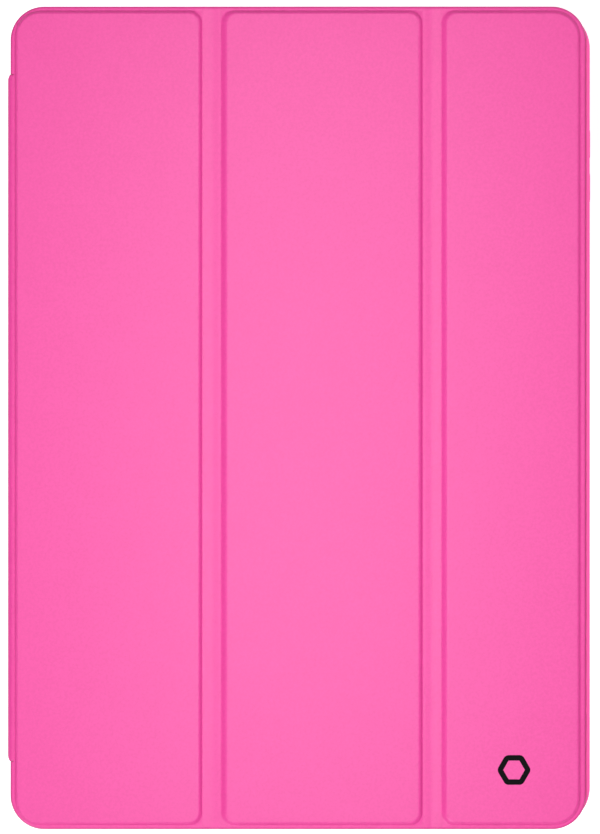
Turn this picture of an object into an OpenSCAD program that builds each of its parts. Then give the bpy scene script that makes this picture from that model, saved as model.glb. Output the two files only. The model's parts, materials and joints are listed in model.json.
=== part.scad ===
// Tri-fold tablet case, lying shut on its back.
// A moulded tray holds the tablet. A cover of board, leather and lining is bonded to
// the back of the tray, comes round its long side as a spine, and lies over the screen
// as three stiff panels that fold on two soft strips.
// X runs across the case from the spine, Y along its long side, Z up from its underside.

/* [Tablet] */
// Width of the tablet that the tray is made for
tablet_w = 174.1; // [150:0.1:200]
// Length of the tablet
tablet_l = 250.6; // [220:0.1:280]
// Thickness of the tablet
tablet_t = 7.5; // [6:0.1:10]
// Radius of the tablet's corners
tablet_r = 10.2; // [8:0.1:14]

/* [Tray] */
// Gap between the tablet and the tray wall
fit_gap = 0.2; // [0.1:0.05:0.4]
// Thickness of the tray wall
wall_t = 1.7; // [1.5:0.1:2.5]
// Thickness of the tray floor
floor_t = 1.6; // [1.4:0.1:2.5]
// How far the rim reaches in over the edge of the screen
lip_reach = 1.0; // [0.5:0.1:2]
// Thickness of the rim
lip_t = 0.8; // [0.6:0.1:1.5]

/* [Openings] */
// Diameter of the camera hole in the floor
camera_d = 14; // [8:0.5:20]
// Distance of the camera hole's centre from the two nearest sides of the tablet
camera_in = 13.5; // [12:0.5:20]
// Length of the charging port's opening
port_l = 14; // [10:0.5:20]
// Height of the charging port's opening
port_h = 6; // [5:0.1:7]
// Length of each speaker opening
speaker_l = 22; // [10:1:26]
// Height of each speaker opening
speaker_h = 3; // [2:0.1:4]
// Distance of each speaker opening's centre from the middle of the case
speaker_out = 36; // [30:1:50]
// Diameter of the headphone hole
headphone_d = 7; // [5:0.1:7]
// Distance of the headphone hole from the side of the tablet
headphone_in = 15; // [12:1:30]
// Diameter of the microphone hole
microphone_d = 2.4; // [1.5:0.1:4]

/* [Button covers] */
// Length of a button cover
button_l = 10.4; // [8:0.1:12]
// Height of a button cover
button_h = 3.8; // [3:0.1:5]
// Slit round a button cover, bridged by a thin moulded web
button_slit = 0.4; // [0.3:0.05:0.6]
// How far a button cover travels
button_travel = 0.4; // [0.2:0.05:0.5]
// How far the tablet's own buttons stand out of its side
tablet_button_out = 0.4; // [0.2:0.05:0.5]
// Distance of the volume up button from the top of the tablet
volume_up_in = 40; // [34:0.5:50]
// Distance between the two volume buttons
volume_pitch = 13.5; // [13:0.5:20]
// Distance of the power button from the side of the tablet
power_in = 24; // [20:0.5:40]

/* [Cover layers] */
// Thickness of the leather sheet
leather_t = 0.7; // [0.5:0.05:0.8]
// Thickness of the stiff board in each panel
board_t = 1.0; // [0.8:0.1:1.2]
// Thickness of the lining
lining_t = 0.4; // [0.3:0.05:0.5]
// Gap between the lining and the rim of the tray when shut
cover_gap = 0.3; // [0.3:0.05:0.6]

/* [Cover panels] */
// Radius of the cover's four outer corners
cover_r = 10.5; // [9:0.5:14]
// How far the cover stands out past each end of the tray
cover_overhang = 0.8; // [0.4:0.1:1.5]
// Width of the raised panel next to the spine
panel_1_w = 57.7; // [57:0.1:58]
// Width of the raised panel in the middle
panel_2_w = 61.9; // [61.5:0.1:62.5]
// Width of the raised panel at the free edge
panel_3_w = 42.5; // [42:0.1:43]
// Width of each soft fold between two raised panels
fold_w = 6.7; // [6.4:0.1:7]
// Flat leather between the spine and the first raised panel
spine_margin = 1.55; // [1.4:0.05:1.8]
// Flat leather between the last raised panel and the free edge
free_margin = 2.0; // [1.8:0.1:2.4]
// Flat leather at both ends of the raised panels
end_margin = 1.6; // [1.2:0.1:2.4]
// Radius of a raised panel's corners at a fold
fold_corner_r = 3.6; // [2:0.1:5]
// Radius of the first panel's corners at the spine
spine_corner_r = 7.6; // [5:0.1:9]
// Radius of the last panel's corners at the free edge
free_corner_r = 8.0; // [5:0.1:9]

/* [Spine and back] */
// Length of the spine along the long side
spine_l = 211.4; // [200:0.2:220]
// Thickness of the board in the spine
spine_board_t = 0.8; // [0.6:0.1:1]
// Strip of the spine left free of its board beside each bend
spine_board_in = 2.0; // [1.5:0.1:2.5]
// Gap between the spine's lining and the tray
spine_gap = 1.4; // [1.2:0.1:1.8]
// How far the spine stands out past the cover's edge
spine_proud = 0.85; // [0.8:0.05:0.9]
// Width of the leather bonded to the back of the tray
wing_w = 44; // [30:1:60]
// Radius of the corners of the leather on the back
wing_r = 8; // [4:0.5:12]
// Thickness of the film that bonds the leather to the back
film_t = 0.1; // [0.1:0.05:0.2]

/* [Magnets and mark] */
// Length of a closing magnet
magnet_l = 12; // [8:1:16]
// Width of a closing magnet
magnet_w = 3; // [2:0.5:4]
// Distance between neighbouring closing magnets
magnet_pitch = 52; // [40:1:54]
// Diameter of the magnet that wakes the tablet
wake_magnet_d = 5; // [4:0.5:6]
// Width of the steel strip that holds the stand shut
catch_w = 5; // [4:0.5:6]
// Length of the steel strip
catch_l = 180; // [120:5:200]
// Thickness of the steel strip
catch_t = 0.5; // [0.4:0.05:0.6]
// Radius of the printed hexagon ring
mark_r = 5.2; // [4:0.1:6]
// Width of the printed ring's line
mark_line = 1.7; // [1:0.1:2]
// Thickness of the print
mark_t = 0.06; // [0.04:0.01:0.1]

/* [Hidden] */
$fn = 72;
past = 1; // how far a cutting shape runs past the face it cuts

// Heights, from the underside up
bay_z = floor_t;
lip_z = bay_z + tablet_t + 0.1;
tray_z = lip_z + lip_t;
lining_z = tray_z + cover_gap;
sheet_z = lining_z + lining_t;
panel_z = sheet_z + board_t + leather_t;
button_z = bay_z + tablet_t / 2;

// Places across the case
tray_w = tablet_w + 2 * (fit_gap + wall_t);
tray_l = tablet_l + 2 * (fit_gap + wall_t);
tray_r = tablet_r + fit_gap + wall_t;
spine_t = leather_t + spine_board_t + lining_t;
case_w = tray_w + spine_gap + spine_t;
spine_x = -case_w / 2;
tray_x = case_w / 2 - tray_w;
tray_mid_x = tray_x + tray_w / 2;
tray_right_x = tray_x + tray_w;
tablet_right_x = tray_mid_x + tablet_w / 2;

// The cover's edges and its raised panels
cover_x = spine_x + spine_proud;
panel_1_x = cover_x + spine_margin;
panel_2_x = panel_1_x + panel_1_w + fold_w;
panel_3_x = panel_2_x + panel_2_w + fold_w;
cover_w = panel_3_x + panel_3_w + free_margin - cover_x;
cover_l = tray_l + 2 * cover_overhang;

// Each fold is a strip that turns on both its edges. An axis lies this far in from the
// raised panel's edge; the panel's flat leather stops short of it to leave turning room.
axis_in = 1.3;
panel_stop = 0.85;
strip_stop = 0.1;
fold_1_axes = [panel_2_x - fold_w + axis_in, panel_2_x - axis_in];
fold_2_axes = [panel_3_x - fold_w + axis_in, panel_3_x - axis_in];

// The spine's board stops short of the leather at its ends, and the spine as a whole
// stops short of the tray's back and of the cover
spine_end = 1.5;
spine_z = 0.9;
wing_x = spine_x + spine_t + 0.1;
wing_gap = 0.2;
recess_t = leather_t + film_t;
board_gap = 0.1;
lining_in = 0.6;
magnet_in = 5;
catch_in = 4.7;
mark_x = 66.9;
mark_y = -109.5;

volume_y = tablet_l / 2 - volume_up_in;
power_x = tablet_right_x - power_in;
button_t = wall_t - tablet_button_out - button_travel;

// A rectangle from x0 to x1 and from -l/2 to l/2, with round corners of radius r0 at
// its low side and r1 at its high side
module rounded_rect(x0, x1, l, r0, r1) {
    translate([x0 + r0, -l / 2]) square([x1 - x0 - r0 - r1, l]);
    translate([x0, -l / 2 + r0]) square([2 * r0, l - 2 * r0]);
    translate([x1 - 2 * r1, -l / 2 + r1]) square([2 * r1, l - 2 * r1]);
    for (side = [-1, 1]) {
        translate([x0 + r0, side * (l / 2 - r0)]) circle(r0);
        translate([x1 - r1, side * (l / 2 - r1)]) circle(r1);
    }
}

// A slot of length l and height h with round ends
module stadium(l, h) {
    square([l - h, h], center = true);
    for (side = [-1, 1]) translate([side * (l - h) / 2, 0]) circle(d = h);
}

// The tray's outline, drawn in from its outer face by inset
module tray_outline(inset) {
    rounded_rect(tray_x + inset, tray_right_x - inset, tray_l - 2 * inset,
                 tray_r - inset, tray_r - inset);
}

// Runs a flat shape through the wall at one end of the tray, centred at x
module through_end_wall(x, side) {
    translate([x, side * (tray_l - wall_t) / 2, button_z])
        rotate([90, 0, 0])
            linear_extrude(wall_t + 2 * past, center = true) children();
}

// Runs a flat shape through the wall at the free side of the tray, centred at y
module through_side_wall(y) {
    translate([tray_right_x - wall_t / 2, y, button_z])
        rotate([90, 0, 90])
            linear_extrude(wall_t + 2 * past, center = true) children();
}

// The opening that one button cover moves in
module button_slot() {
    stadium(button_l + 2 * button_slit, button_h + 2 * button_slit);
}

// The outline of the leather on the back, from x = low, drawn in by inset at its high
// side and ends; a negative inset grows it
module wing_outline(low, inset) {
    high = wing_x + wing_w - inset;
    intersection() {
        rounded_rect(low - 2 * wing_r, high, spine_l - 2 * inset,
                     wing_r - inset, wing_r - inset);
        translate([low, -spine_l]) square([2 * wing_w, 2 * spine_l]);
    }
}

// Soft moulded tray, with its rim, its openings and the recess for the leather
module tray() {
    color("hotpink") difference() {
        linear_extrude(tray_z) tray_outline(0);
        translate([0, 0, bay_z]) linear_extrude(lip_z - bay_z) tray_outline(wall_t);
        translate([0, 0, lip_z - past])
            linear_extrude(lip_t + 2 * past) tray_outline(wall_t + lip_reach);
        translate([0, 0, -past])
            linear_extrude(past + recess_t) wing_outline(tray_x - past, -wing_gap);
        translate([tablet_right_x - camera_in, tablet_l / 2 - camera_in, -past])
            cylinder(h = floor_t + 2 * past, d = camera_d);
        through_end_wall(tray_mid_x, -1) stadium(port_l, port_h);
        for (side = [-1, 1])
            through_end_wall(tray_mid_x + side * speaker_out, -1)
                stadium(speaker_l, speaker_h);
        through_end_wall(tray_mid_x - tablet_w / 2 + headphone_in, 1)
            circle(d = headphone_d);
        through_end_wall(tray_mid_x, 1) circle(d = microphone_d);
        through_end_wall(power_x, 1) button_slot();
        through_side_wall(volume_y) button_slot();
        through_side_wall(volume_y - volume_pitch) button_slot();
    }
}

// Leather that lies in the recess in the back, flush with it
module wing_leather() {
    color("hotpink") linear_extrude(leather_t) wing_outline(wing_x, 0);
}

// Adhesive film between that leather and the tray
module wing_film() {
    color("ivory") translate([0, 0, leather_t])
        linear_extrude(film_t) wing_outline(tray_x, past);
}

// One button cover in the free side wall, flush with its outer face
module side_button_cover(y) {
    color("hotpink") translate([tray_right_x - button_t, y, button_z])
        rotate([90, 0, 90]) linear_extrude(button_t) stadium(button_l, button_h);
}

// Covers over the tablet's three buttons
module volume_up_cover() { side_button_cover(volume_y); }
module volume_down_cover() { side_button_cover(volume_y - volume_pitch); }
module power_cover() {
    color("hotpink") translate([power_x, tray_l / 2, button_z])
        rotate([90, 0, 0]) linear_extrude(button_t) stadium(button_l, button_h);
}

// One upright layer of the spine, in by depth from its outer face, shorter and narrower
// than the leather by two insets
module spine_layer(depth, thickness, end_inset, side_inset) {
    translate([spine_x + depth, -spine_l / 2 + end_inset, spine_z + side_inset])
        cube([thickness, spine_l - 2 * end_inset, tray_z - spine_z - 2 * side_inset]);
}

// Outer leather, stiff board and lining of the spine
module spine_leather() { color("hotpink") spine_layer(0, leather_t, 0, 0); }
module spine_board() {
    color("gray") spine_layer(leather_t, spine_board_t, board_gap, spine_board_in);
}
module spine_lining() {
    color("pink") spine_layer(leather_t + spine_board_t, lining_t, 0, 0);
}

// The part of the cover's outline between x0 and x1, drawn in from its edge by inset
module cover_band(x0, x1, inset) {
    r = cover_r - inset;
    intersection() {
        rounded_rect(cover_x + inset, cover_x + cover_w - inset, cover_l - 2 * inset, r, r);
        translate([x0, -cover_l]) square([x1 - x0, 2 * cover_l]);
    }
}

// A raised panel's outline, drawn in from its edge by inset
module raised_outline(x, w, r0, r1, inset) {
    rounded_rect(x + inset, x + w - inset, cover_l - 2 * (end_margin + inset),
                 r0 - inset, r1 - inset);
}

// The leather of one panel: flat at its edges and raised over its board
module panel_leather(low, high, x, w, r0, r1) {
    color("hotpink") translate([0, 0, sheet_z]) difference() {
        union() {
            linear_extrude(leather_t) cover_band(low, high, 0);
            linear_extrude(board_t + leather_t) raised_outline(x, w, r0, r1, 0);
        }
        translate([0, 0, -past]) linear_extrude(past + board_t)
            raised_outline(x, w, r0, r1, leather_t);
    }
}

// The board of one panel
module panel_board(x, w, r0, r1) {
    color("gray") translate([0, 0, sheet_z]) linear_extrude(board_t)
        raised_outline(x, w, r0, r1, leather_t + board_gap);
}

// The lining of one stretch of the cover
module cover_lining(low, high) {
    color("pink") translate([0, 0, lining_z])
        linear_extrude(lining_t) cover_band(low, high, lining_in);
}

// The leather of one fold
module fold_leather(axes) {
    color("hotpink") translate([0, 0, sheet_z]) linear_extrude(leather_t)
        cover_band(axes[0] + strip_stop, axes[1] - strip_stop, 0);
}

// Panel next to the spine, whose board also holds a steel strip
module panel_1_leather() {
    panel_leather(cover_x - past, fold_1_axes[0] - panel_stop,
                  panel_1_x, panel_1_w, spine_corner_r, fold_corner_r);
}
module panel_1_board() {
    difference() {
        panel_board(panel_1_x, panel_1_w, spine_corner_r, fold_corner_r);
        catch_block(board_gap);
    }
}
module panel_1_lining() { cover_lining(cover_x - past, fold_1_axes[0] - panel_stop); }

// The strip's shape, let into the top of the board and grown by gap for its pocket
module catch_block(gap) {
    translate([panel_1_x + catch_in - catch_w / 2 - gap, -catch_l / 2 - gap,
               sheet_z + board_t - catch_t])
        cube([catch_w + 2 * gap, catch_l + 2 * gap, catch_t + (gap > 0 ? past : 0)]);
}
module catch_strip() { color("silver") catch_block(0); }

// First fold
module fold_1_leather() { fold_leather(fold_1_axes); }
module fold_1_lining() {
    cover_lining(fold_1_axes[0] + strip_stop, fold_1_axes[1] - strip_stop);
}

// Middle panel
module panel_2_leather() {
    panel_leather(fold_1_axes[1] + panel_stop, fold_2_axes[0] - panel_stop,
                  panel_2_x, panel_2_w, fold_corner_r, fold_corner_r);
}
module panel_2_board() {
    panel_board(panel_2_x, panel_2_w, fold_corner_r, fold_corner_r);
}
module panel_2_lining() {
    cover_lining(fold_1_axes[1] + panel_stop, fold_2_axes[0] - panel_stop);
}

// Second fold
module fold_2_leather() { fold_leather(fold_2_axes); }
module fold_2_lining() {
    cover_lining(fold_2_axes[0] + strip_stop, fold_2_axes[1] - strip_stop);
}

// Panel at the free edge, whose board also holds the magnets
module panel_3_leather() {
    panel_leather(fold_2_axes[1] + panel_stop, cover_x + cover_w + past,
                  panel_3_x, panel_3_w, fold_corner_r, free_corner_r);
}
module panel_3_board() {
    difference() {
        panel_board(panel_3_x, panel_3_w, fold_corner_r, free_corner_r);
        magnet_blocks(board_gap);
        wake_block(board_gap);
    }
}
module panel_3_lining() {
    cover_lining(fold_2_axes[1] + panel_stop, cover_x + cover_w + past);
}

// The four closing magnets, through the board's thickness, grown by gap for their pockets
module magnet_blocks(gap) {
    deeper = gap > 0 ? past : 0;
    for (step = [-1.5:1:1.5])
        translate([panel_3_x + panel_3_w - magnet_in - magnet_w / 2 - gap,
                   step * magnet_pitch - magnet_l / 2 - gap, sheet_z - deeper])
            cube([magnet_w + 2 * gap, magnet_l + 2 * gap, board_t + 2 * deeper]);
}
module closing_magnets() { color("silver") magnet_blocks(0); }

// The round magnet that wakes and sleeps the tablet, at the middle of the free edge
module wake_block(gap) {
    deeper = gap > 0 ? past : 0;
    translate([panel_3_x + panel_3_w - magnet_in, 0, sheet_z - deeper])
        cylinder(h = board_t + 2 * deeper, d = wake_magnet_d + 2 * gap);
}
module wake_magnet() { color("silver") wake_block(0); }

// Plain hexagon ring printed on the free corner of the cover
module printed_mark() {
    color("black") translate([mark_x, mark_y, panel_z]) linear_extrude(mark_t)
        difference() {
            circle(r = mark_r, $fn = 6);
            circle(r = mark_r - mark_line, $fn = 6);
        }
}

tray();
wing_leather();
wing_film();
volume_up_cover();
volume_down_cover();
power_cover();
spine_leather();
spine_board();
spine_lining();
panel_1_leather();
panel_1_board();
panel_1_lining();
catch_strip();
fold_1_leather();
fold_1_lining();
panel_2_leather();
panel_2_board();
panel_2_lining();
fold_2_leather();
fold_2_lining();
panel_3_leather();
panel_3_board();
panel_3_lining();
closing_magnets();
wake_magnet();
printed_mark();
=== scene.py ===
import json
import math

import bmesh
import bpy
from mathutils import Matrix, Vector


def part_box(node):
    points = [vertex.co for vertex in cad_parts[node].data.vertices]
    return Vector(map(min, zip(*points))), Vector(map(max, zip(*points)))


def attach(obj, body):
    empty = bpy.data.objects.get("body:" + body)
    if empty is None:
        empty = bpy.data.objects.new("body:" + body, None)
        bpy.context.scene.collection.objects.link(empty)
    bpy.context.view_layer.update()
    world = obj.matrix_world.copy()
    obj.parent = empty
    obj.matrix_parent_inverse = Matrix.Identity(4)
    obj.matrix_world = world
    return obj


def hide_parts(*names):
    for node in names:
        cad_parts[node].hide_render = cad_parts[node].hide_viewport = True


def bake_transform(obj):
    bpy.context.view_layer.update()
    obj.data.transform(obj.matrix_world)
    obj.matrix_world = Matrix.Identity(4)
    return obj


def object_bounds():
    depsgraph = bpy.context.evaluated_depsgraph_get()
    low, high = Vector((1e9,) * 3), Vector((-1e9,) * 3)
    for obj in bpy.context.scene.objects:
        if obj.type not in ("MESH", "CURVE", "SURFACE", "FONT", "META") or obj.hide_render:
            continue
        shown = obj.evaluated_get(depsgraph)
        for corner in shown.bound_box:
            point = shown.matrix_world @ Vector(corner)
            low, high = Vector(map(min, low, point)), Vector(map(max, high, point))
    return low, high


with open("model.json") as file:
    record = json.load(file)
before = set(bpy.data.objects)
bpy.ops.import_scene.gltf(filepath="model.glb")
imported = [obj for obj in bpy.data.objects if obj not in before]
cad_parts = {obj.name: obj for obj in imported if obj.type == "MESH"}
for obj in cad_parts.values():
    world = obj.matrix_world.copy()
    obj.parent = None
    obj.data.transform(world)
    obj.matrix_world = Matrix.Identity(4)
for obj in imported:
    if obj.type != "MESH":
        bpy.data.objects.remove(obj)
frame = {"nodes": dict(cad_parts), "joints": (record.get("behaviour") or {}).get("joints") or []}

cad_low, cad_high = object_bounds()
MM = 0.001

# ---------------------------------------------------------------------------------------
# Camera, straight above the closed case with its long side upright. The lens is long, so
# the sides of the case stay out of sight and its outline keeps its true proportions.
VIEW_LENGTH = 259.4 * MM       # what the long side of the view takes in at the cover
CAMERA_ABOVE = 2.6             # metres above the cover
SENSOR = 36.0                  # mm, along the long side of the view
VIEW_CENTRE = (0.33 * MM, 0.28 * MM)

camera_data = bpy.data.cameras.new("camera")
camera_data.sensor_width = SENSOR
camera_data.lens = SENSOR * CAMERA_ABOVE / VIEW_LENGTH
camera = bpy.data.objects.new("camera", camera_data)
camera.location = (*VIEW_CENTRE, cad_high.z + CAMERA_ABOVE)
bpy.context.scene.collection.objects.link(camera)
bpy.context.scene.camera = camera

# ---------------------------------------------------------------------------------------
# Tray: one injection moulding in soft TPU. Its wall ends in a rim that snaps in over the
# edge of the tablet. Every corner of the moulding is rounded so that it leaves the mould,
# and every opening has a small lead-in at its mouth.
tray_low, tray_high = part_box("tray")
CORNER_STEPS = 20              # faces round a quarter turn of an outline
SIDE_STEPS_X = 6               # faces along a straight side of an outline
SIDE_STEPS_Y = 24


def rounded_ring(low, high, z, radii, square=(), left=None):
    """Points round a rectangle with round corners, anticlockwise from its low corner.

    radii and square go by corner: low, high x, high, low x. A corner in square is
    sharp, with its points spread over the radius given. left replaces the points between
    the two corners on the low x side with its own, from high y to low y."""
    corners = (
        (low[0] + radii[0], low[1] + radii[0]), (high[0] - radii[1], low[1] + radii[1]),
        (high[0] - radii[2], high[1] - radii[2]), (low[0] + radii[3], high[1] - radii[3]),
    )
    arcs = []
    for k, centre in enumerate(corners):
        arc = []
        for step in range(CORNER_STEPS + 1):
            turn = math.pi + (k + step / CORNER_STEPS) * math.pi / 2
            across, along = math.cos(turn), math.sin(turn)
            reach = radii[k] / (max(abs(across), abs(along)) if k in square else 1)
            arc.append((centre[0] + reach * across, centre[1] + reach * along))
        arcs.append(arc)
    points = []
    for k, arc in enumerate(arcs):
        points += arc
        if k == 3 and left is not None:
            points += left
            continue
        begin, end = Vector(arc[-1]), Vector(arcs[(k + 1) % 4][0])
        steps = SIDE_STEPS_X if k % 2 == 0 else SIDE_STEPS_Y
        points += [tuple(begin.lerp(end, n / steps)) for n in range(1, steps)]
    return [(x, y, z) for x, y in points]


def solid(name, rings, edge_tone_and_spine_shade=None):
    """A closed mesh through rings of points, each with as many points as the next.

    The last argument is how dark each point is made, from 0 to 1: a deeper tone along turned
    edges and painted shade over the spine. It goes to the material."""
    count = len(rings[0])
    faces = [list(range(count))]
    for n in range(len(rings) - 1):
        here, there = n * count, (n + 1) * count
        for k in range(count):
            after = (k + 1) % count
            faces.append((here + k, there + k, there + after, here + after))
    last = (len(rings) - 1) * count
    faces.append([last + k for k in reversed(range(count))])
    mesh = bpy.data.meshes.new(name)
    mesh.from_pydata([point for ring in rings for point in ring], [], faces)
    if edge_tone_and_spine_shade:
        attribute = mesh.attributes.new("edge_tone_and_spine_shade", "FLOAT", "POINT")
        attribute.data.foreach_set("value", edge_tone_and_spine_shade)
    piece = bpy.data.objects.new(name, mesh)
    bpy.context.scene.collection.objects.link(piece)
    return piece


def dress(piece, material, replaced, sharp_degrees=32):
    """Closes a piece's doubled points, turns its faces outwards, shades it smooth up to an
    angle, gives it its material and hides the CAD nodes that it stands for."""
    shape = bmesh.new()
    shape.from_mesh(piece.data)
    bmesh.ops.remove_doubles(shape, verts=shape.verts, dist=0.002 * MM)
    bmesh.ops.dissolve_degenerate(shape, edges=shape.edges, dist=0.001 * MM)
    bmesh.ops.recalc_face_normals(shape, faces=shape.faces)
    shape.to_mesh(piece.data)
    shape.free()
    piece.data.shade_smooth()
    piece.data.set_sharp_from_angle(angle=math.radians(sharp_degrees))
    piece.data.materials.clear()
    piece.data.materials.append(material)
    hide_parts(*replaced)
    return piece


def linear(colour):
    """An sRGB hex colour as the linear RGBA that Blender works in."""
    parts = [int(colour[n:n + 2], 16) / 255 for n in (1, 3, 5)]
    return (*[c / 12.92 if c <= 0.04045 else ((c + 0.055) / 1.055) ** 2.4 for c in parts], 1)


def new_material(name):
    """An empty material with its output node, as (material, node tree, output)."""
    made = bpy.data.materials.new(name)
    made.use_nodes = True
    made.node_tree.nodes.clear()
    return made, made.node_tree, made.node_tree.nodes.new("ShaderNodeOutputMaterial")


def add(tree, kind, inputs=None, **settings):
    """Adds one node. inputs are its sockets by name or number: a value, or what feeds it."""
    made = tree.nodes.new(kind)
    for key, value in settings.items():
        setattr(made, key, value)
    for key, value in (inputs or {}).items():
        if isinstance(value, bpy.types.NodeSocket):
            tree.links.new(value, made.inputs[key])
        else:
            made.inputs[key].default_value = value
    return made


def noise(tree, place, size, detail, roughness=0.5):
    """Noise with spots of one size, from 0 to 1."""
    return add(tree, "ShaderNodeTexNoise", {"Vector": place, "Scale": 1 / size, "Detail": detail,
                                            "Roughness": roughness}).outputs["Fac"]


def mixed(tree, share, first, second):
    """A colour that goes from the first to the second as share goes from 0 to 1."""
    return add(tree, "ShaderNodeMix", {"Factor": share, "A": first, "B": second},
               data_type="RGBA").outputs["Result"]


def ranged(tree, value, to_low, to_high, low=0.0, high=1.0):
    """A value spread from low and high to another range."""
    return add(tree, "ShaderNodeMapRange", {"Value": value, "From Min": low, "From Max": high,
                                            "To Min": to_low, "To Max": to_high}
               ).outputs["Result"]


def bumped(tree, height, strength, depth):
    """Relief too fine to model."""
    return add(tree, "ShaderNodeBump", {"Height": height, "Strength": strength,
                                        "Distance": depth}).outputs["Normal"]


def coat(tree, output, inputs):
    """Ends a material with its surface."""
    surface = add(tree, "ShaderNodeBsdfPrincipled", inputs)
    tree.links.new(surface.outputs["BSDF"], output.inputs["Surface"])


# Thermoplastic polyurethane, injection moulded in a spark-eroded mould: satin, with a fine
# pitted texture that breaks up its shine, and a tone that drifts a little as it flowed.
tpu, tree, output = new_material("tpu_injection_moulded")
place = add(tree, "ShaderNodeTexCoord").outputs["Object"]
pits = noise(tree, place, 0.35 * MM, 3.0)
flow = noise(tree, place, 30 * MM, 2.0)
coat(tree, output, {
    "Base Color": mixed(tree, flow, linear("#fb4fa6"), linear("#fd57ab")),
    "Roughness": ranged(tree, pits, 0.40, 0.56),
    "Normal": bumped(tree, pits, 0.25, 0.02 * MM), "IOR": 1.5})

WALL = 1.7 * MM                # thickness of the wall
FLOOR = 1.6 * MM               # thickness of the floor
RIM_REACH = 1.0 * MM           # how far the rim stands in over the tablet
TRAY_RADIUS = 12.1 * MM        # outer corner of the outline
EDGE = 2.0 * MM                # rounding between the back and the wall
tray_top = tray_high.z
rim_under = tray_top - 0.8 * MM
rim_in = WALL + RIM_REACH
FILLET = 0.9 * MM              # inside corner between the floor and the wall
OPEN_EDGE = 1.5 * MM           # how far the section runs on to the floor at both its ends
quarter_turn = [n / 8 * math.pi / 2 for n in range(9)]

# The wall's section as (inset from the outline, height), from the floor over the rim and
# down to the underside.
tray_section = (
    [(WALL + FILLET + OPEN_EDGE, FLOOR)]
    + [(WALL + FILLET * (1 - math.sin(t)), FLOOR + FILLET * (1 - math.cos(t)))
       for t in quarter_turn]
    + [(WALL, rim_under - 0.40 * MM), (WALL + 0.05 * MM, rim_under - 0.12 * MM),
       (WALL + 0.20 * MM, rim_under), (rim_in - 0.30 * MM, rim_under + 0.05 * MM),
       (rim_in - 0.08 * MM, rim_under + 0.15 * MM), (rim_in, rim_under + 0.35 * MM),
       (rim_in - 0.08 * MM, tray_top - 0.22 * MM), (rim_in - 0.32 * MM, tray_top - 0.05 * MM),
       (rim_in - 0.70 * MM, tray_top), (0.95 * MM, tray_top),
       (0.62 * MM, tray_top - 0.05 * MM), (0.35 * MM, tray_top - 0.17 * MM),
       (0.14 * MM, tray_top - 0.40 * MM), (0.03 * MM, tray_top - 0.72 * MM),
       (0, tray_top - 1.05 * MM)]
    + [(EDGE * (1 - math.cos(t)), EDGE * (1 - math.sin(t))) for t in quarter_turn]
    + [(EDGE + OPEN_EDGE, 0)]
)


def new_tree(name, sizes):
    """An empty Geometry Nodes tree that takes a section's outline, a finish and named
    sizes, as (tree, outputs of its input node)."""
    made = bpy.data.node_groups.new(name, "GeometryNodeTree")
    made.interface.new_socket("Section", in_out="INPUT", socket_type="NodeSocketGeometry")
    made.interface.new_socket("Finish", in_out="INPUT", socket_type="NodeSocketMaterial")
    for size in sizes:
        made.interface.new_socket(size, in_out="INPUT", socket_type="NodeSocketFloat")
    made.interface.new_socket("Piece", in_out="OUTPUT", socket_type="NodeSocketGeometry")
    return made, made.nodes.new("NodeGroupInput").outputs


def end_tree(tree, sizes, geometry):
    """Ends a tree with its geometry made real and given its finish."""
    real = add(tree, "GeometryNodeRealizeInstances", {"Geometry": geometry})
    coated = add(tree, "GeometryNodeSetMaterial", {"Geometry": real.outputs["Geometry"],
                                                   "Material": sizes["Finish"]})
    add(tree, "NodeGroupOutput", {"Piece": coated.outputs["Geometry"]})


def grow(name, tree, section, closed, finish, sizes, edge_tone_and_spine_shade=None):
    """Runs a tree over a section of (x, y) points and leaves a plain closed mesh. The last
    argument is how dark each point of the section is made: a deeper tone along turned edges."""
    mesh = bpy.data.meshes.new(name)
    edges = [(n, n + 1) for n in range(len(section) - 1)]
    if closed:
        edges.append((len(section) - 1, 0))
    mesh.from_pydata([(x, y, 0) for x, y in section], edges, [])
    if edge_tone_and_spine_shade:
        mesh.attributes.new("edge_tone_and_spine_shade", "FLOAT", "POINT").data.foreach_set("value", edge_tone_and_spine_shade)
    piece = bpy.data.objects.new(name, mesh)
    bpy.context.scene.collection.objects.link(piece)
    maker = piece.modifiers.new(tree.name, "NODES")
    maker.node_group = tree
    sockets = {item.name: item.identifier for item in tree.interface.items_tree
               if item.in_out == "INPUT"}
    for key, value in {"Finish": finish, **sizes}.items():
        maker[sockets[key]] = value
    bpy.context.view_layer.update()
    made = bpy.data.meshes.new_from_object(
        piece.evaluated_get(bpy.context.evaluated_depsgraph_get()))
    piece.modifiers.remove(maker)
    shape = bmesh.new()
    shape.from_mesh(made)
    bmesh.ops.remove_doubles(shape, verts=shape.verts, dist=0.002 * MM)
    bmesh.ops.holes_fill(shape, edges=[e for e in shape.edges if e.is_boundary], sides=0)
    bmesh.ops.recalc_face_normals(shape, faces=shape.faces)
    shape.to_mesh(made)
    shape.free()
    piece.data = made
    return piece


# The section, swept round a rectangle with round corners.
tray_tree, sizes = new_tree("moulded_tray", ("Width", "Length", "Corner Radius", "Middle X"))
outline = add(tray_tree, "GeometryNodeCurvePrimitiveQuadrilateral",
              {"Width": sizes["Width"], "Height": sizes["Length"]})
rounded = add(tray_tree, "GeometryNodeFilletCurve",
              {"Curve": outline.outputs["Curve"], "Radius": sizes["Corner Radius"],
               "Count": CORNER_STEPS, "Limit Radius": True}, mode="POLY")
wall_line = add(tray_tree, "GeometryNodeMeshToCurve", {"Mesh": sizes["Section"]})
swept = add(tray_tree, "GeometryNodeCurveToMesh",
            {"Curve": rounded.outputs["Curve"], "Profile Curve": wall_line.outputs["Curve"]})
shift = add(tray_tree, "ShaderNodeCombineXYZ", {"X": sizes["Middle X"]})
placed = add(tray_tree, "GeometryNodeTransform", {"Geometry": swept.outputs["Mesh"],
                                                  "Translation": shift.outputs["Vector"]})
end_tree(tray_tree, sizes, placed.outputs["Geometry"])

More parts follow.
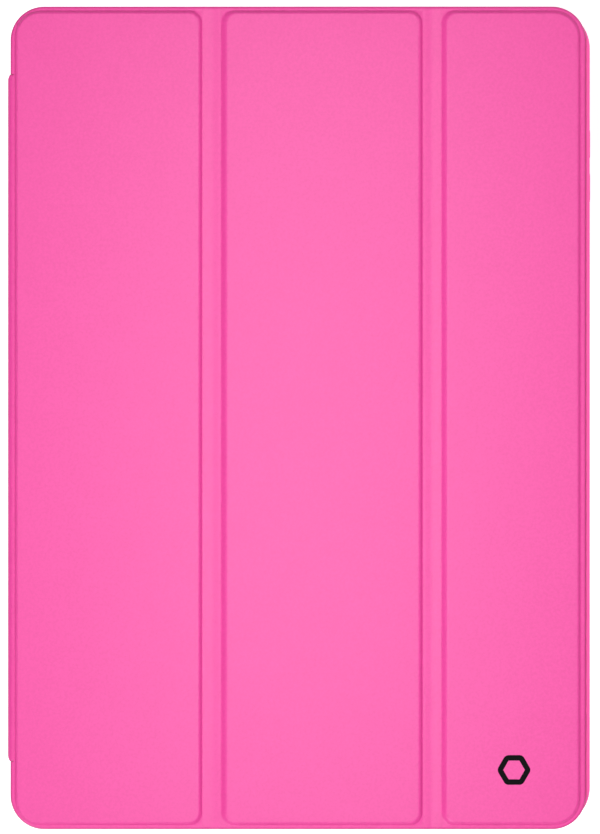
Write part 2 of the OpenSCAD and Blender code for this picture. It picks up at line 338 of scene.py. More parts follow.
tray_mid = (tray_low.x + tray_high.x) / 2
tray_size = tray_high - tray_low
tray = grow("soft_tray", tray_tree, [(-inset, -z) for inset, z in tray_section], False, tpu,
            {"Width": tray_size.x, "Length": tray_size.y, "Corner Radius": TRAY_RADIUS,
             "Middle X": tray_mid})

SLOT_STEPS = 48                # faces round an opening or a pad


def slot_ring(length, height, wider, depth):
    """Points round a slot with round ends, as (along, up, depth), widened all round."""
    half, radius = (length - height) / 2, height / 2 + wider
    turns = [math.radians(n * 360 / SLOT_STEPS) for n in range(SLOT_STEPS)]
    return [(math.copysign(half, math.cos(t)) * (abs(math.cos(t)) > 1e-6)
             + radius * math.cos(t), radius * math.sin(t), depth) for t in turns]


def on_face(centre, outward, along, points):
    """Puts (along, up, depth) points on a face of the tray, round a centre."""
    across = Vector(outward).cross(Vector(along))
    return [tuple(Vector(centre) + Vector(along) * a + across * u - Vector(outward) * d)
            for a, u, d in points]


LEAD_IN = 0.3 * MM             # bevel at the outer mouth of an opening
CUT_PAST = 1 * MM              # how far a cutting shape stands out on both sides of a wall


def opening(length, height, centre, outward, along, thickness):
    """A cutting shape for one opening. It is wider at its outer mouth, which leaves a
    lead-in on the wall that it cuts."""
    return solid("cutter", [
        on_face(centre, outward, along, slot_ring(length, height, wider, depth))
        for wider, depth in ((LEAD_IN + CUT_PAST, -CUT_PAST), (LEAD_IN, 0), (0, LEAD_IN),
                             (0, thickness + CUT_PAST))])


TABLET_THICK = 7.5 * MM
side_z = FLOOR + TABLET_THICK / 2   # half way up the tablet's side
TABLET_SIDE = WALL + 0.2 * MM  # from the tray's outer face to the tablet
RIGHT, UP_END, LOW_END, BACK = (1, 0, 0), (0, 1, 0), (0, -1, 0), (0, 0, -1)
ALONG_X, ALONG_Y = (1, 0, 0), (0, 1, 0)
volume_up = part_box("volume_up_cover")
volume_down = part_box("volume_down_cover")
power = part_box("power_cover")
SLIT = 0.4 * MM                # round each button cover


def middle(box):
    """The middle of a CAD node's box."""
    return (box[0] + box[1]) / 2


PORT, SPEAKER, SPEAKER_OUT = (14 * MM, 6 * MM), (22 * MM, 3 * MM), 36 * MM
HEADPHONE, HEADPHONE_IN = 7 * MM, 15 * MM       # width, and distance in from the corner
MICROPHONE = 2.4 * MM
CAMERA_WINDOW, CAMERA_IN = 14 * MM, 13.5 * MM
headphone_x = tray_low.x + TABLET_SIDE + HEADPHONE_IN
camera_in = TABLET_SIDE + CAMERA_IN

cutters = []
for box in (volume_up, volume_down):
    size = box[1] - box[0]
    cutters.append(opening(size.y + 2 * SLIT, size.z + 2 * SLIT,
                           (tray_high.x, middle(box).y, middle(box).z),
                           RIGHT, ALONG_Y, WALL))
size = power[1] - power[0]
for length, height, centre, outward, thickness in (
    (size.x + 2 * SLIT, size.z + 2 * SLIT, (middle(power).x, tray_high.y, middle(power).z),
     UP_END, WALL),
    (*PORT, (tray_mid, tray_low.y, side_z), LOW_END, WALL),
    (*SPEAKER, (tray_mid - SPEAKER_OUT, tray_low.y, side_z), LOW_END, WALL),
    (*SPEAKER, (tray_mid + SPEAKER_OUT, tray_low.y, side_z), LOW_END, WALL),
    (HEADPHONE, HEADPHONE, (headphone_x, tray_high.y, side_z), UP_END, WALL),
    (MICROPHONE, MICROPHONE, (tray_mid, tray_high.y, side_z), UP_END, WALL),
    (CAMERA_WINDOW, CAMERA_WINDOW, (tray_high.x - camera_in, tray_high.y - camera_in, 0),
     BACK, FLOOR),
):
    cutters.append(opening(length, height, centre, outward, ALONG_X, thickness))

wing_low, wing_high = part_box("wing_leather")
film_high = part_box("wing_film")[1]
RECESS_GAP = 0.2 * MM          # round the wing, in its recess
RECESS_LEAD = 0.15 * MM        # bevel at the recess's mouth
WING_RADIUS = 8 * MM
recess = [
    rounded_ring((tray_low.x - 3 * MM, wing_low.y - RECESS_GAP - wider),
                 (wing_high.x + RECESS_GAP + wider, wing_high.y + RECESS_GAP + wider), z,
                 (MM, WING_RADIUS + wider, WING_RADIUS + wider, MM))
    for wider, z in ((0, film_high.z), (0, RECESS_LEAD), (RECESS_LEAD, 0),
                     (RECESS_LEAD + CUT_PAST, -CUT_PAST))
]
cutters.append(solid("cutter", recess))

for cutter in cutters:
    shape = bmesh.new()
    shape.from_mesh(cutter.data)
    bmesh.ops.recalc_face_normals(shape, faces=shape.faces)
    shape.to_mesh(cutter.data)
    shape.free()
    cut = tray.modifiers.new("opening", "BOOLEAN")
    cut.operation, cut.solver, cut.object = "DIFFERENCE", "EXACT", cutter
bpy.context.view_layer.update()
done = bpy.data.meshes.new_from_object(
    tray.evaluated_get(bpy.context.evaluated_depsgraph_get()))
tray.modifiers.clear()
tray.data = done
for cutter in cutters:
    bpy.data.objects.remove(cutter)
dress(tray, tpu, ["tray"])
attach(tray, "shell")

# ---------------------------------------------------------------------------------------
# Button covers: pads of the same soft TPU that pass a press on to the tablet's buttons.
# Each is crowned so that a finger finds it.

# The crown in mm, as (distance in from the pad's edge, depth behind its CAD face).
PAD_CROWN = ((1.70, -0.26), (1.45, -0.25), (0.95, -0.19), (0.5, -0.06), (0.2, 0.10),
             (0.05, 0.28), (0, 0.5))
for name, box, outward, along in (
    ("volume_up", volume_up, RIGHT, ALONG_Y),
    ("volume_down", volume_down, RIGHT, ALONG_Y),
    ("power", power, UP_END, ALONG_X),
):
    size = box[1] - box[0]
    length, height, depth = max(size.x, size.y), size.z, min(size.x, size.y)
    face = middle(box) + Vector(outward) * depth / 2
    rings = [
        on_face(face, outward, along, slot_ring(length, height, -inset * MM, back * MM))
        for inset, back in (*PAD_CROWN, (0, depth / MM))]
    pad = dress(solid(name + "_pad", rings), tpu, [name + "_cover"])
    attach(pad, name)

# ---------------------------------------------------------------------------------------
# Leather: one sheet of PU-coated microfibre for the whole cover, pressed with a fine
# grain, pink right through its coat, and turned in round every edge. It starts as the
# wing, bonded with a film into the recess in the back of the tray.

# Polyurethane coating, embossed and matt: soft broad shine, a grain that is close to smooth, a
# deeper tone along the turned edges, and painted shade over the spine. The real grain is 0.3 mm
# across, too fine to show, so a second one three times as coarse carries its mottled look.
leather, tree, output = new_material("pu_leather_fine_grain")
place = add(tree, "ShaderNodeTexCoord").outputs["Object"]
pebbles = add(tree, "ShaderNodeTexVoronoi", {"Vector": place, "Scale": 1 / (0.55 * MM),
                                             "Smoothness": 0.6}, feature="SMOOTH_F1")
pores = noise(tree, place, 0.3 * MM, 4.0, 0.6)
mottle = noise(tree, place, 0.9 * MM, 3.0, 0.7)
# Points marked on the mesh take a deeper pink: a deeper tone along the turned edges, and painted
# shade over the spine and its bends.
edge_tone_and_spine_shade_mask = add(tree, "ShaderNodeAttribute", attribute_name="edge_tone_and_spine_shade")
tone = mixed(tree, noise(tree, place, 9 * MM, 3.0), linear("#dc4094"), linear("#e04498"))
speck = ranged(tree, mottle, 0.0, 0.28, 0.35, 0.65)
grained = mixed(tree, speck, tone, linear("#c4307a"))
edge_tone_and_spine_shade_share = add(tree, "ShaderNodeMath", {0: edge_tone_and_spine_shade_mask.outputs["Fac"], 1: 0.85},
                 operation="MULTIPLY")
edge_toned_and_spine_shaded = mixed(tree, edge_tone_and_spine_shade_share.outputs["Value"], grained, linear("#a81c62"))
grain = add(tree, "ShaderNodeMath", {0: pebbles.outputs["Distance"], 1: pores},
            operation="ADD")
height = add(tree, "ShaderNodeMath", {0: grain.outputs["Value"], 1: mottle},
             operation="ADD")
coat(tree, output, {
    "Base Color": edge_toned_and_spine_shaded, "Roughness": ranged(tree, pores, 0.34, 0.48),
    "Normal": bumped(tree, height.outputs["Value"], 0.22, 0.03 * MM), "IOR": 1.45})

WING_CUT = tray_low.x - 0.1 * MM   # where the wing ends and the bend to the spine starts
WING_T = 0.7 * MM
# The wing's section as (inset from its outline, height), from its top to its underside.
wing_section = ((2 * MM, WING_T), (0, WING_T), (0, 0.25 * MM), (0.08 * MM, 0.08 * MM),
                (0.25 * MM, 0), (2 * MM, 0))
wing_rings = [
    rounded_ring((WING_CUT, wing_low.y + inset), (wing_high.x - inset, wing_high.y - inset), z,
                 (2 * MM, WING_RADIUS - inset, WING_RADIUS - inset, 2 * MM), square=(0, 3))
    for inset, z in wing_section
]
wing = dress(solid("wing_leather_skin", wing_rings), leather, ["wing_leather"])
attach(wing, "shell")

# Hot-melt polyurethane film, calendered: yellowish, waxy and a little cloudy.
film, tree, output = new_material("hot_melt_film")
place = add(tree, "ShaderNodeTexCoord").outputs["Object"]
cloud = noise(tree, place, 4 * MM, 3.0)
coat(tree, output, {
    "Base Color": mixed(tree, cloud, linear("#e9e2cb"), linear("#f4efe0")),
    "Roughness": 0.35, "IOR": 1.49})
frame["nodes"]["wing_film"].material_slots[0].material = film

# ---------------------------------------------------------------------------------------
# Spine: the leather comes round the corner of the tray, over a stiff board, and round the
# next corner on to the front. It is softer and thinner in its two bends, where there is
# no board, and its ends are turned in like every other edge.
spine_low, spine_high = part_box("spine_leather")
lining_high_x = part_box("spine_lining")[1].x
flat_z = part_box("fold_1_leather")[1].z      # top of the leather where no board lifts it
lining_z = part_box("panel_1_lining")[0].z
cover_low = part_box("panel_1_leather")[0]
cover_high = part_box("panel_3_leather")[1]
BACK_BEND = 2.2 * MM           # outer radius of the bend on to the back
FRONT_BEND = 1.7 * MM          # and of the one on to the front
FRONT_CUT = spine_low.x + FRONT_BEND + 0.1 * MM   # where the front bend meets panel 1
LINING_PROUD = 0.08 * MM       # the lining stands this much past the turned-in leather
flat_t = flat_z - lining_z - LINING_PROUD   # leather with its hem, where there's no board
spine_t = lining_high_x - spine_low.x - LINING_PROUD
HEM = 5 * MM                   # width of the turned-in leather
HEM_STEP = 0.25 * MM
TURN = 0.45 * MM               # rounding of a turned-in edge
TURN_MID = 0.28 * TURN         # middle of that rounding, in from either face
half_spine = spine_high.y
FLARE = 1.2 * MM               # the front bend is longer than the spine by this at each end
low_centre, high_centre = BACK_BEND, flat_z - FRONT_BEND
back_x = spine_low.x + BACK_BEND


def smooth(t):
    """Eases from 0 to 1 with no slope at either end."""
    t = min(max(t, 0), 1)
    return t * t * (3 - 2 * t)


def corner_stations(radius, centre_z, first, from_t, to_t, steps=14):
    """Stations round a quarter bend, from the angle first in degrees."""
    made = []
    for n in range(steps + 1):
        turn = math.radians(first - 90 * n / steps)
        out = Vector((math.cos(turn), math.sin(turn)))
        thick = from_t + (to_t - from_t) * smooth(n / steps)
        made.append((spine_low.x + radius + radius * out.x, centre_z + radius * out.y, -out,
                     thick))
    return made


BEND_RUN = 0.5 * MM            # straight run at the spine's end of each bend
up, down, inward = Vector((0, 1)), Vector((0, -1)), Vector((1, 0))

# The outer face of the wrap as (x, z, direction inwards, thickness), from the back round
# to the front.
back_bend = (
    [(WING_CUT, 0, up, WING_T), ((WING_CUT + back_x) / 2, 0, up, WING_T)]
    + corner_stations(BACK_BEND, low_centre, 270, WING_T, spine_t)
    + [(spine_low.x, low_centre + BEND_RUN, inward, spine_t)]
)
spine_run = [
    (spine_low.x, low_centre + BEND_RUN, inward, spine_t),
    (spine_low.x, high_centre - BEND_RUN, inward, spine_t),
]
front_bend = (
    [(spine_low.x, high_centre - BEND_RUN, inward, spine_t)]
    + corner_stations(FRONT_BEND, high_centre, 180, spine_t, flat_t)
    + [(FRONT_CUT, flat_z, down, flat_t)]
)


def edge_section(half, thick):
    """Round one stretch of turned-in leather, as (along, depth from the outer face)."""
    corner = ((2 * TURN, 0), (TURN, 0), (TURN_MID, TURN_MID), (0, TURN))
    one_end = [(half - along, depth) for along, depth in corner]
    one_end += [(half - along, thick - depth) for along, depth in reversed(corner[1:])]
    one_end += [(half - HEM, thick), (half - HEM, thick - HEM_STEP)]
    return one_end + [(-along, depth) for along, depth in reversed(one_end)]


# How deep a tone each point of a turned-in edge takes round its section, deepest round the turn.
ONE_END_EDGE_TONE = (0, 0.2, 0.9, 1, 1, 0.9, 0.2, 0, 0)
EDGE_TONE = ONE_END_EDGE_TONE + ONE_END_EDGE_TONE[::-1]


def wrap(name, stations, section, edge_tone_and_spine_shade=None):
    """Sweeps a section along stations of the wrap. section(n) is (along, depth) pairs, and the
    last argument, given n, is how dark each of its points is made: a deeper tone along turned
    edges and painted shade over the spine."""
    rings = []
    for n, (x, z, into, _) in enumerate(stations):
        rings.append([(x + into.x * depth, along, z + into.y * depth)
                      for along, depth in section(n)])
    return solid(name, rings, edge_tone_and_spine_shade and [part for n in range(len(rings)) for part in edge_tone_and_spine_shade(n)])


SPINE_SHADE = 0.30               # how much painted shade lies all over the spine


def edge_tone_with_spine_shade(share):
    """How dark a turned-in stretch is made: a deeper tone along its edges, and painted shade of
    the spine at the share given.
    """
    return [max(part, SPINE_SHADE * share) for part in EDGE_TONE]


# The spine's painted shade grows round the back bend.
back_skin = wrap("back_bend_leather", back_bend,
                 lambda n: edge_section(half_spine, back_bend[n][3]),
                 lambda n: edge_tone_with_spine_shade(smooth(n / len(back_bend))))
dress(back_skin, leather, ["wing_leather", "spine_leather"])
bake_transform(back_skin)

spine_skin = wrap("spine_leather_skin", spine_run,
                  lambda n: edge_section(half_spine, spine_t), lambda n: edge_tone_with_spine_shade(1))
dress(spine_skin, leather, ["spine_leather"])
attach(spine_skin, "spine")


def flare(n, stations):
    """How much longer than the spine the front bend is at one of its stations. It widens
    over the first half of the bend."""
    return FLARE * smooth((n / (len(stations) - 1) - 0.08) / 0.5)


# The spine's painted shade fades round the front bend on to panel 1.
front_skin = wrap(
    "front_bend_leather", front_bend,
    lambda n: edge_section(half_spine + flare(n, front_bend), front_bend[n][3]),
    lambda n: edge_tone_with_spine_shade(1 - smooth((n + 1) / len(front_bend))))
dress(front_skin, leather, ["spine_leather", "panel_1_leather"])
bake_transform(front_skin)

# Lining: brushed polyester microfibre, cut to lie inside the turned-in leather all round
# and pressed down on to it with heat. It is dull and soft, with a short nap that lies in
# streaks, so its tone wanders.
lining, tree, output = new_material("microfibre_brushed")
place = add(tree, "ShaderNodeTexCoord").outputs["Object"]
stretch = add(tree, "ShaderNodeMapping", {"Vector": place, "Scale": (1.0, 0.25, 1.0)})
nap = noise(tree, stretch.outputs["Vector"], 0.5 * MM, 4.0)
strokes = noise(tree, stretch.outputs["Vector"], 14 * MM, 3.0)
tone = mixed(tree, strokes, linear("#d85f97"), linear("#ea7dae"))
fibres = ranged(tree, nap, 0.0, 0.35, 0.3, 0.7)
coat(tree, output, {
    "Base Color": mixed(tree, fibres, tone, linear("#f3a5c8")), "Roughness": 0.92,
    "IOR": 1.5, "Normal": bumped(tree, nap, 0.5, 0.05 * MM), "Sheen Weight": 0.25,
    "Sheen Roughness": 0.5})

LINING_IN = 4.2 * MM           # from the leather's edge to the lining's
LINING_T = 0.32 * MM
CLOTH_TURN = 0.06 * MM         # how far the lining's edge is rounded down
CLOTH_EDGE = 0.1 * MM          # and how far in


def lining_section(half, thick):
    """Round one stretch of lining, as (along, depth from the leather's outer face)."""
    edge, inner = half - LINING_IN, thick + LINING_PROUD
    one_end = [(edge, inner - LINING_T), (edge, inner - CLOTH_TURN),
               (edge - CLOTH_EDGE, inner)]
    return one_end + [(-along, depth) for along, depth in reversed(one_end)]


spine_cloth = wrap("spine_lining_cloth", spine_run,
                   lambda n: lining_section(half_spine, spine_t))
dress(spine_cloth, lining, ["spine_lining"])
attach(spine_cloth, "spine")
front_cloth = wrap("front_bend_lining", front_bend,
                   lambda n: lining_section(half_spine, front_bend[n][3]))
dress(front_cloth, lining, ["spine_lining", "panel_1_lining"])
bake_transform(front_cloth)

# ---------------------------------------------------------------------------------------
# Boards: pressed grey fibre board, die cut, one in the spine and one in each panel. They
# are shut in between the leather and the lining.

# Pressed fibre board: dull, and its fibres lie every way and show as pale and dark flecks.
board, tree, output = new_material("pressed_fibre_board")
place = add(tree, "ShaderNodeTexCoord").outputs["Object"]
flecks = noise(tree, place, 0.8 * MM, 6.0, 0.7)
coat(tree, output, {
    "Base Color": mixed(tree, flecks, linear("#6f6d66"), linear("#8d8a80")),
    "Roughness": 0.88, "IOR": 1.5, "Normal": bumped(tree, flecks, 0.3, 0.05 * MM)})
for node in ("spine_board", "panel_1_board", "panel_2_board", "panel_3_board"):
    frame["nodes"][node].material_slots[0].material = board

# ---------------------------------------------------------------------------------------
# Panels: the leather is drawn down over each board and pressed flat on to the lining
# round it, so each board shows as a raised panel with a soft shoulder. The shoulder is
# tighter beside a fold, where the press closes right up to the board.
RAISE = 1.0 * MM
panel_z = cover_high.z
CUT_OUT = 0.7 * MM             # how far past a raised edge a panel ends beside a fold
OUTER_TOP, OUTER_FOOT = 0.85 * MM, 0.40 * MM  # shoulder's start and foot, at an outer edge
LOW_TOP, LOW_FOOT = 1.90 * MM, 0.60 * MM      # on the spine's side, beside a fold
HIGH_TOP, HIGH_FOOT = 1.25 * MM, 0.40 * MM    # on the free edge's side, beside a fold
SPINE_TOP, SPINE_FOOT = 0.80 * MM, 0.25 * MM  # beside the spine
SHOULDER_STEPS = 12
NOTCH = half_spine + FLARE     # panel 1's flat leather ends here beside the spine
NOTCH_R = 0.2 * MM
NOTCH_STEPS = 10               # faces from the notch to the middle of the side

raised = {
    1: (-88.2 * MM, -30.5 * MM), 2: (-23.8 * MM, 38.1 * MM), 3: (44.8 * MM, 87.3 * MM),
}
RAISED_END = 126.4 * MM
FOLD_RADIUS, SPINE_RADIUS, FREE_RADIUS = 3.6 * MM, 7.6 * MM, 8.0 * MM
COVER_RADIUS = 10.5 * MM


def both_ways(corner):
    """A low x side from the points of its upper corner: on down to the middle of the side,
    then the same again mirrored."""
    end_x, notch_y = corner[-1]
    upper = corner + [(end_x, notch_y * (1 - n / NOTCH_STEPS))
                      for n in range(1, NOTCH_STEPS + 1)]
    return upper + [(x, -y) for x, y in reversed(upper[:-1])]


def beside_spine(edge_x, cut_x, notch_y):
    """The low x side of an outline that steps to cut_x beside the spine."""
    toward = math.copysign(NOTCH_R, cut_x - edge_x)
    return both_ways([
        (edge_x, notch_y + NOTCH_R), (edge_x + 0.3 * toward, notch_y + 0.3 * NOTCH_R),
        (edge_x + toward, notch_y), (cut_x, notch_y)])


def along_spine(x, notch_y):
    """The same number of points on a straight side."""
    return both_ways([
        (x, notch_y + NOTCH_R), (x, notch_y + 0.7 * NOTCH_R),
        (x, notch_y + 0.35 * NOTCH_R), (x, notch_y)])


def outer_ring(panel, inset, notch_y, z):
    """A panel's flat outline, drawn in by inset at the cover's own edges only. Beside the
    spine it steps back at notch_y either way."""
    low_x = cover_low.x + inset if panel == 1 else raised[panel][0] - CUT_OUT
    high_x = cover_high.x - inset if panel == 3 else raised[panel][1] + CUT_OUT
    round_r = COVER_RADIUS - inset
    radii = (round_r if panel == 1 else FOLD_RADIUS, round_r if panel == 3 else FOLD_RADIUS)
    square = ((0, 3) if panel != 1 else ()) + ((1, 2) if panel != 3 else ())
    left = beside_spine(low_x, FRONT_CUT, notch_y) if panel == 1 else None
    return rounded_ring((low_x, cover_low.y + inset), (high_x, cover_high.y - inset), z,
                        (radii[0], radii[1], radii[1], radii[0]), square, left)


def shoulder_ring(panel, t):
    """One ring of a panel's shoulder, from its top at t = 0 to its foot at t = 1."""
    outer = OUTER_TOP - (OUTER_TOP + OUTER_FOOT) * t
    low_fold = LOW_TOP - (LOW_TOP + LOW_FOOT) * t
    steeper = t * (1.4 - 0.4 * t)      # its foot is pressed into a crease
    high_fold = HIGH_TOP - (HIGH_TOP + HIGH_FOOT) * steeper
    low_x, high_x = raised[panel]
    left_in = low_fold if panel != 1 else SPINE_TOP - (SPINE_TOP + SPINE_FOOT) * t
    right_in = high_fold if panel != 3 else outer
    z = panel_z - RAISE * smooth(t ** 1.5)
    r_low = SPINE_RADIUS if panel == 1 else FOLD_RADIUS
    r_high = FREE_RADIUS if panel == 3 else FOLD_RADIUS
    radii = [r - 0.6 * high_fold for r in (r_low, r_high)]
    left = along_spine(low_x + left_in, NOTCH) if panel == 1 else None
    return rounded_ring((low_x + left_in, -RAISED_END + outer),
                        (high_x - right_in, RAISED_END - outer), z,
                        (radii[0], radii[1], radii[1], radii[0]), (), left)


hem_z = lining_z + LINING_PROUD

# The turned-in edge as (inset, height, how deep a tone it takes), from the front round to the
# hem.
panel_edge = (
    (2 * TURN, flat_z, 0), (TURN, flat_z, 0.2), (TURN_MID, flat_z - TURN_MID, 0.9),
    (0, flat_z - TURN, 1), (0, hem_z + TURN, 1), (TURN_MID, hem_z + TURN_MID, 0.9),
    (TURN, hem_z, 0.2), (HEM, hem_z, 0), (HEM, hem_z + HEM_STEP, 0),
)
for panel in (1, 2, 3):
    rings, edge_tone_and_spine_shade = [], []
    for n in range(SHOULDER_STEPS + 1):
        rings.append(shoulder_ring(panel, n / SHOULDER_STEPS))
        edge_tone_and_spine_shade += [0] * len(rings[-1])
    for inset, z, edge_darkness in panel_edge:
        rings.append(outer_ring(panel, inset, NOTCH + 0.3 * inset, z))
        edge_tone_and_spine_shade += [edge_darkness] * len(rings[-1])
    name = f"panel_{panel}_leather"
    skin = dress(solid(name + "_skin", rings, edge_tone_and_spine_shade), leather, [name])
    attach(skin, f"panel_{panel}")

# The lining's edge as (inset, height), from the face on the leather round to the screen.
cloth_edge = ((0, lining_z + LINING_T), (0, lining_z + CLOTH_TURN), (CLOTH_EDGE, lining_z),
              (2 * MM, lining_z))
for panel in (1, 2, 3):
    rings = [outer_ring(panel, inset + LINING_IN, NOTCH - (inset + LINING_IN), z)
             for inset, z in cloth_edge]
    name = f"panel_{panel}_lining"
    cloth = dress(solid(name + "_cloth", rings), lining, [name])
    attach(cloth, f"panel_{panel}")

# ---------------------------------------------------------------------------------------
# Folds: between two panels the leather and the lining lie flat on each other with no
# board, so the cover bends there. The press leaves both faces a little hollow. Each fold
# turns on both its sides, so each is made as two halves that meet in the middle.
FOLD_SEGMENTS = 16
FOLD_HOLLOW = 0.12 * MM
LINING_HOLLOW = 0.10 * MM
PAST_PIVOT = 1.45 * MM         # how far past its axis a fold's bend reaches

fold_tree, sizes = new_tree("pressed_fold", (
    "From X", "To X", "Top Z", "Fold From X", "Fold To X", "Hollow", "Segments"))
begin = add(fold_tree, "ShaderNodeCombineXYZ", {"X": sizes["From X"], "Z": sizes["Top Z"]})
end = add(fold_tree, "ShaderNodeCombineXYZ", {"X": sizes["To X"], "Z": sizes["Top Z"]})
straight = add(fold_tree, "GeometryNodeCurvePrimitiveLine",
               {"Start": begin.outputs["Vector"], "End": end.outputs["Vector"]})
stepped = add(fold_tree, "GeometryNodeResampleCurve",
              {"Curve": straight.outputs["Curve"], "Count": sizes["Segments"]})
outline = add(fold_tree, "GeometryNodeMeshToCurve", {"Mesh": sizes["Section"]})
swept = add(fold_tree, "GeometryNodeCurveToMesh",
            {"Curve": stepped.outputs["Curve"], "Profile Curve": outline.outputs["Curve"],
             "Fill Caps": True})
here = add(fold_tree, "GeometryNodeInputPosition")
across = add(fold_tree, "ShaderNodeSeparateXYZ", {"Vector": here.outputs["Position"]})
share = add(fold_tree, "ShaderNodeMapRange",
            {"Value": across.outputs["X"], "From Min": sizes["Fold From X"],
             "From Max": sizes["Fold To X"], "To Min": 0.0, "To Max": math.pi})
bow = add(fold_tree, "ShaderNodeMath", {0: share.outputs["Result"]}, operation="SINE")
squared = add(fold_tree, "ShaderNodeMath", {0: bow.outputs["Value"], 1: bow.outputs["Value"]},
              operation="MULTIPLY")
drop = add(fold_tree, "ShaderNodeMath", {0: squared.outputs["Value"], 1: sizes["Hollow"]},
           operation="MULTIPLY")
sink = add(fold_tree, "ShaderNodeCombineXYZ", {"Z": drop.outputs["Value"]})
pressed = add(fold_tree, "GeometryNodeSetPosition",
              {"Geometry": swept.outputs["Mesh"], "Offset": sink.outputs["Vector"]})
end_tree(fold_tree, sizes, pressed.outputs["Geometry"])

axis_x = {joint["name"]: joint["pos_m"][0] for joint in frame["joints"] if "pos_m" in joint}
strip_t = flat_z - hem_z
half_cover = cover_high.y
for fold in (1, 2):
    low_x, high_x = raised[fold][1] + CUT_OUT, raised[fold + 1][0] - CUT_OUT
    mid_x = (low_x + high_x) / 2
    near_end = axis_x[f"fold_{fold}_near"] + PAST_PIVOT
    far_start = axis_x[f"fold_{fold}_far"] - PAST_PIVOT
    for side, from_x, to_x, bodies, turn in (
        ("near", low_x, mid_x, (f"panel_{fold}", f"fold_{fold}"), (low_x, near_end)),
        ("far", mid_x, high_x, (f"fold_{fold}", f"panel_{fold + 1}"), (far_start, high_x)),
    ):
        for layer, finish, slot_name, section, hollow, edge_tone_and_spine_shade in (
            ("leather", leather, "pu_leather", edge_section(half_cover, strip_t),
             -FOLD_HOLLOW, EDGE_TONE),
            ("lining", lining, "microfibre", lining_section(half_cover, strip_t),
             LINING_HOLLOW, None),
        ):
            strip = grow(f"fold_{fold}_{side}_{layer}", fold_tree, section, True, finish,
                         {"From X": from_x, "To X": to_x, "Top Z": flat_z,
                          "Fold From X": low_x, "Fold To X": high_x, "Hollow": hollow,
                          "Segments": float(FOLD_SEGMENTS)}, edge_tone_and_spine_shade)
            dress(strip, finish, [f"fold_{fold}_{layer}"])
            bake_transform(strip)

# ---------------------------------------------------------------------------------------
# Magnets and their catch: four block magnets and the round one are glued into pockets in
# panel 3's board, and a thin steel strip lies under the leather of panel 1.

# Sintered neodymium, nickel plated: bright, slightly warm, with soft tumbling marks.
nickel, tree, output = new_material("nickel_plated_magnet")
place = add(tree, "ShaderNodeTexCoord").outputs["Object"]
tumbled = noise(tree, place, 0.7 * MM, 5.0)
coat(tree, output, {"Base Color": linear("#c9c3b6"), "Metallic": 1.0,
                    "Roughness": ranged(tree, tumbled, 0.14, 0.38)})
for node in ("closing_magnets", "wake_magnet"):
    frame["nodes"][node].material_slots[0].material = nickel

# Cold-rolled spring steel: grey and half bright, with fine lines along the strip.
steel, tree, output = new_material("cold_rolled_steel")
place = add(tree, "ShaderNodeTexCoord").outputs["Object"]
drawn = add(tree, "ShaderNodeMapping", {"Vector": place, "Scale": (1.0, 0.02, 1.0)})
lines = noise(tree, drawn.outputs["Vector"], 0.2 * MM, 3.0)
coat(tree, output, {"Base Color": linear("#a3a5a7"), "Metallic": 1.0,
                    "Roughness": ranged(tree, lines, 0.25, 0.5)})
frame["nodes"]["catch_strip"].material_slots[0].material = steel

# ---------------------------------------------------------------------------------------
# Mark: a plain hexagon ring near the free corner of panel 3, a raised transfer of thick
# black ink pressed on to the leather.

# Plastisol ink: black and smooth, with a low shine that takes on a little of the grain.
ink, tree, output = new_material("plastisol_ink_transfer")
place = add(tree, "ShaderNodeTexCoord").outputs["Object"]
print_grain = noise(tree, place, 0.4 * MM, 3.0)
coat(tree, output, {
    "Base Color": linear("#060507"), "Roughness": ranged(tree, print_grain, 0.65, 0.85),
    "IOR": 1.4, "Specular IOR Level": 0.15,
    "Normal": bumped(tree, print_grain, 0.2, 0.02 * MM)})

MARK_LINE = 1.7 * MM           # width of the ring's line
MARK_BEVEL = 0.12 * MM         # its edges round off over this
MARK_CORNER = 0.9 * MM
MARK_SUNK = 0.02 * MM          # the ink's underside lies this deep in the leather's grain
mark_low, mark_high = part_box("printed_mark")
mark_thick = mark_high.z - mark_low.z
mark_tree, sizes = new_tree("printed_ring", ("Radius", "Corner Radius", "X", "Y", "Z"))
hexagon = add(mark_tree, "GeometryNodeCurvePrimitiveCircle",
              {"Resolution": 6, "Radius": sizes["Radius"]})
softened = add(mark_tree, "GeometryNodeFilletCurve",
               {"Curve": hexagon.outputs["Curve"], "Radius": sizes["Corner Radius"],
                "Count": 6, "Limit Radius": True}, mode="POLY")
outline = add(mark_tree, "GeometryNodeMeshToCurve", {"Mesh": sizes["Section"]})
swept = add(mark_tree, "GeometryNodeCurveToMesh",
            {"Curve": softened.outputs["Curve"], "Profile Curve": outline.outputs["Curve"]})
shift = add(mark_tree, "ShaderNodeCombineXYZ", {"X": sizes["X"], "Y": sizes["Y"],
                                                "Z": sizes["Z"]})
placed = add(mark_tree, "GeometryNodeTransform", {"Geometry": swept.outputs["Mesh"],
                                                  "Translation": shift.outputs["Vector"]})
end_tree(mark_tree, sizes, placed.outputs["Geometry"])

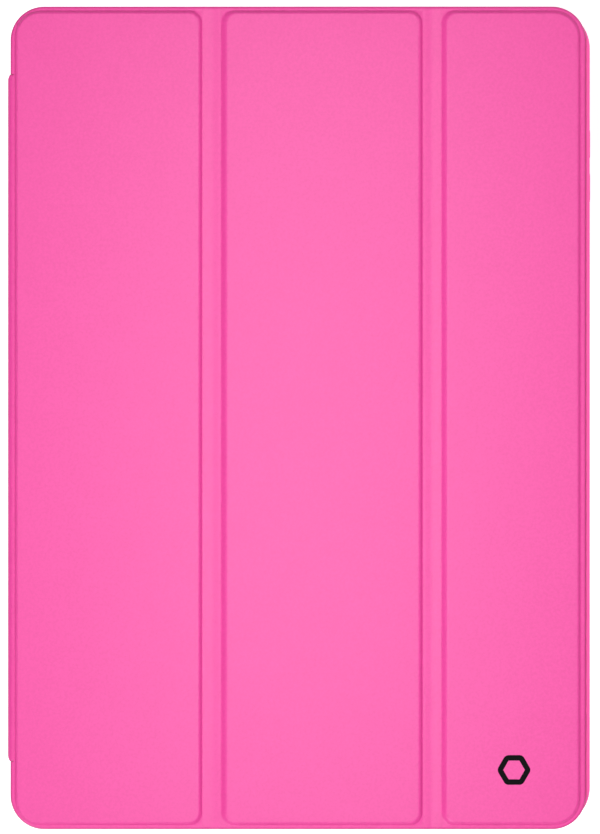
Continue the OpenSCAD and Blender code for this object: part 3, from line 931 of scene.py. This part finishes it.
half_line = MARK_LINE / 2
mark_section = ((-half_line, MARK_SUNK), (-half_line, -0.3 * mark_thick),
                (-half_line + MARK_BEVEL, -mark_thick), (half_line - MARK_BEVEL, -mark_thick),
                (half_line, -0.3 * mark_thick), (half_line, MARK_SUNK))
mark_radius = (mark_high.x - mark_low.x) / 2 - half_line
mark_middle = (mark_low + mark_high) / 2
ring = grow("hexagon_mark", mark_tree, mark_section, True, ink,
            {"Radius": mark_radius, "Corner Radius": MARK_CORNER, "X": mark_middle.x,
             "Y": mark_middle.y, "Z": mark_low.z})
dress(ring, ink, ["printed_mark"])
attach(ring, "panel_3")

# ---------------------------------------------------------------------------------------
# Studio: a softly lit white floor, well below the case so that its cover can hang open,
# and three softboxes: a key from the spine's side, a strip straight above and a fill.
FLOOR_Z, FLOOR_HALF = -0.19, 12.0   # metres
floor_data = bpy.data.meshes.new("studio_floor")
floor_data.from_pydata([(x * FLOOR_HALF, y * FLOOR_HALF, FLOOR_Z) for x, y in
                        ((-1, -1), (1, -1), (1, 1), (-1, 1))], [], [(0, 1, 2, 3)])
floor = bpy.data.objects.new("studio_floor", floor_data)
bpy.context.scene.collection.objects.link(floor)
# White backdrop paper: matt, and lit so evenly that it looks as if it glows.
white, tree, output = new_material("white_paper")
coat(tree, output, {"Base Color": linear("#f4f4f4"), "Roughness": 0.9,
                    "Emission Color": linear("#ffffff"), "Emission Strength": 0.6})
floor.data.materials.append(white)

# Each softbox as (name, place, width, length, watts), in metres.
for name, place, width, length, watts in (
    ("key_softbox", (-0.65, -1.15, 1.30), 0.7, 0.7, 16.5),
    ("top_softbox", (0.0, 0.0, 0.45), 0.12, 0.36, 1.2),
    ("fill_softbox", (1.5, 0.8, 1.5), 1.2, 1.2, 9.0),
):
    light_data = bpy.data.lights.new(name, "AREA")
    light_data.shape, light_data.energy = "RECTANGLE", watts
    light_data.size, light_data.size_y = width, length
    light = bpy.data.objects.new(name, light_data)
    light.location = place
    light.rotation_euler = (-Vector(place)).to_track_quat("-Z", "Y").to_euler()
    bpy.context.scene.collection.objects.link(light)

world = bpy.data.worlds.new("studio")
world.use_nodes = True
background = world.node_tree.nodes["Background"].inputs
background["Color"].default_value = (1, 1, 1, 1)
background["Strength"].default_value = 0.36
bpy.context.scene.world = world
bpy.context.scene.view_settings.view_transform = "Standard"
